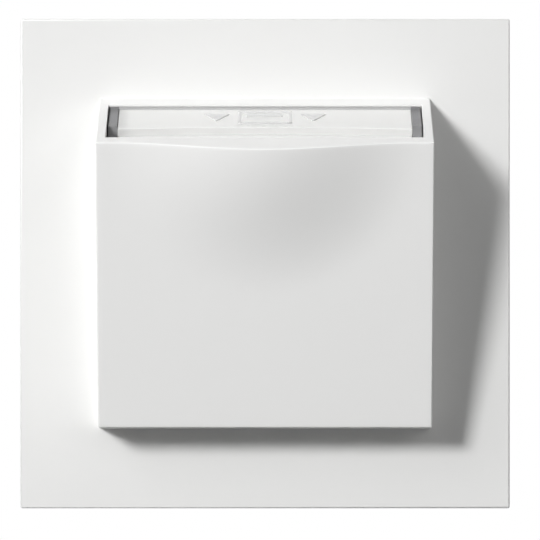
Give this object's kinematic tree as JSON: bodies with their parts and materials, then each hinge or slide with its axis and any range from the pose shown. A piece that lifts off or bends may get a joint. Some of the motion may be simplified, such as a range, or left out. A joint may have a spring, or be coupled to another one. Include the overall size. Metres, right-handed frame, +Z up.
{
  "type": "hotel key card switch",
  "caption": "Square wall plate with a wedge-shaped pocket that takes a key card from above; a card lever works a leaf switch in the wall box, and a lit window marks the slot.",
  "frame": {"origin": "middle of the two fixing slots, in the wall surface", "axes": "X to the right and Z up as seen by a person in front of the wall, Y into the wall; the pocket faces -Y"},
  "size_m": [0.086, 0.0527, 0.086],
  "materials": {
    "white_cover": "satin gloss white moulding",
    "white_inner": "matt white reflector",
    "legend": "translucent white film",
    "clear": "clear moulded acrylic",
    "board": "solder-masked circuit board",
    "led": "cast white body with a yellow lens",
    "resistor": "lacquered",
    "copper": "drawn copper wire",
    "dark_carrier": "fine-grained grey moulding",
    "lever": "natural acetal",
    "steel": "plated steel",
    "zinc": "zinc-plated sheet steel",
    "housing": "light grey moulding",
    "housing_dark": "grey moulding",
    "bronze": "rolled spring bronze",
    "silver": "silver contact alloy",
    "brass": "stamped and machined brass"
  },
  "bodies": {
    "base": {"face_plate": "white_cover", "pocket_shell": "white_cover", "legend_window": "clear", "legend_strip": "legend", "light_tray": "white_inner", "led_board": "board", "led_left": "led", "led_right": "led", "dropper_resistor": "resistor", "lead_line": "copper", "lead_neutral": "copper", "pocket_carrier": "dark_carrier", "lever_pin": "steel", "yoke": "zinc", "rear_housing": "housing", "switch_cover": "housing_dark", "return_spring": "steel", "blade_pin": "steel", "line_bar": "brass", "load_bar": "brass", "load_contact": "silver", "clamp_line": "brass", "clamp_link": "brass", "clamp_neutral": "brass", "clamp_load": "brass", "clamp_screw_line": "steel", "clamp_screw_link": "steel", "clamp_screw_neutral": "steel", "clamp_screw_load": "steel", "body_screw_1": "steel", "body_screw_2": "steel", "body_screw_3": "steel", "body_screw_4": "steel"},
    "lever": {"card_lever": "lever"},
    "plunger": {"switch_plunger": "lever"},
    "blade": {"contact_blade": "bronze", "blade_contact": "silver"}
  },
  "joints": [
    {"name": "lever_hinge", "type": "hinge", "parent": "base", "child": "lever", "pos_m": [0, -0.005, -0.0165], "axis": [1, 0, 0], "range_deg": [0, 16], "stiffness_Nm_per_rad": 0.02, "springref_deg": -8.59},
    {"name": "plunger_slide", "type": "slide", "parent": "base", "child": "plunger", "axis": [0, 1, 0], "range_m": [0, 0.00143], "deforming": ["return_spring"]},
    {"name": "blade_hinge", "type": "hinge", "parent": "base", "child": "blade", "pos_m": [-0.013, 0.005, -0.0216], "axis": [0, 0, 1], "range_deg": [0, 6.33]}
  ],
  "couplings": [
    {"joint": "plunger_slide", "follows": "lever_hinge", "m_per_rad": 0.0051333},
    {"joint": "blade_hinge", "follows": "lever_hinge", "ratio": 0.39567}
  ]
}
